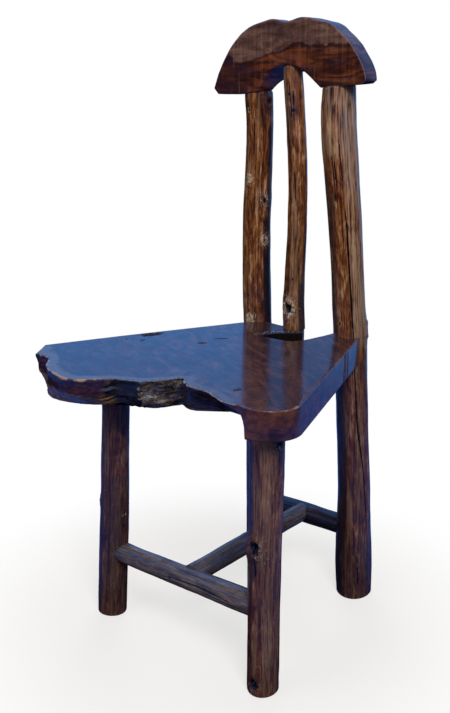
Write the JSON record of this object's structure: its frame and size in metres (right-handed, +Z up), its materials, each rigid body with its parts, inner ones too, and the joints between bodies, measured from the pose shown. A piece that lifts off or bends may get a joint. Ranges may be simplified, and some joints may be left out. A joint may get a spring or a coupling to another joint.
{
  "type": "twig chair",
  "caption": "Rustic armless chair of peeled crooked branches with a live-edge slab seat, a half-moon crest rail and low stretchers.",
  "frame": {"origin": "on the floor, under the middle of the chair's bounding box", "axes": "+Z up, the chair faces -Y, +X is to the right of someone who looks at its front"},
  "size_m": [0.4634, 0.481, 0.9411],
  "materials": {
    "branch_wood": "gloss varnish over peeled brown branch wood",
    "slab_wood": "gloss varnish over dark figured slab wood",
    "crest_wood": "gloss varnish over figured board wood",
    "peg_wood": "satin"
  },
  "bodies": {
    "root": {"seat_slab": "slab_wood", "front_left_leg": "branch_wood", "front_right_leg": "branch_wood", "rear_left_post": "branch_wood", "rear_right_post": "branch_wood", "centre_spindle": "branch_wood", "crest_rail": "crest_wood", "front_stretcher": "branch_wood", "rear_stretcher": "branch_wood", "middle_stretcher": "branch_wood", "housing_pegs": "peg_wood"}
  },
  "joints": []
}
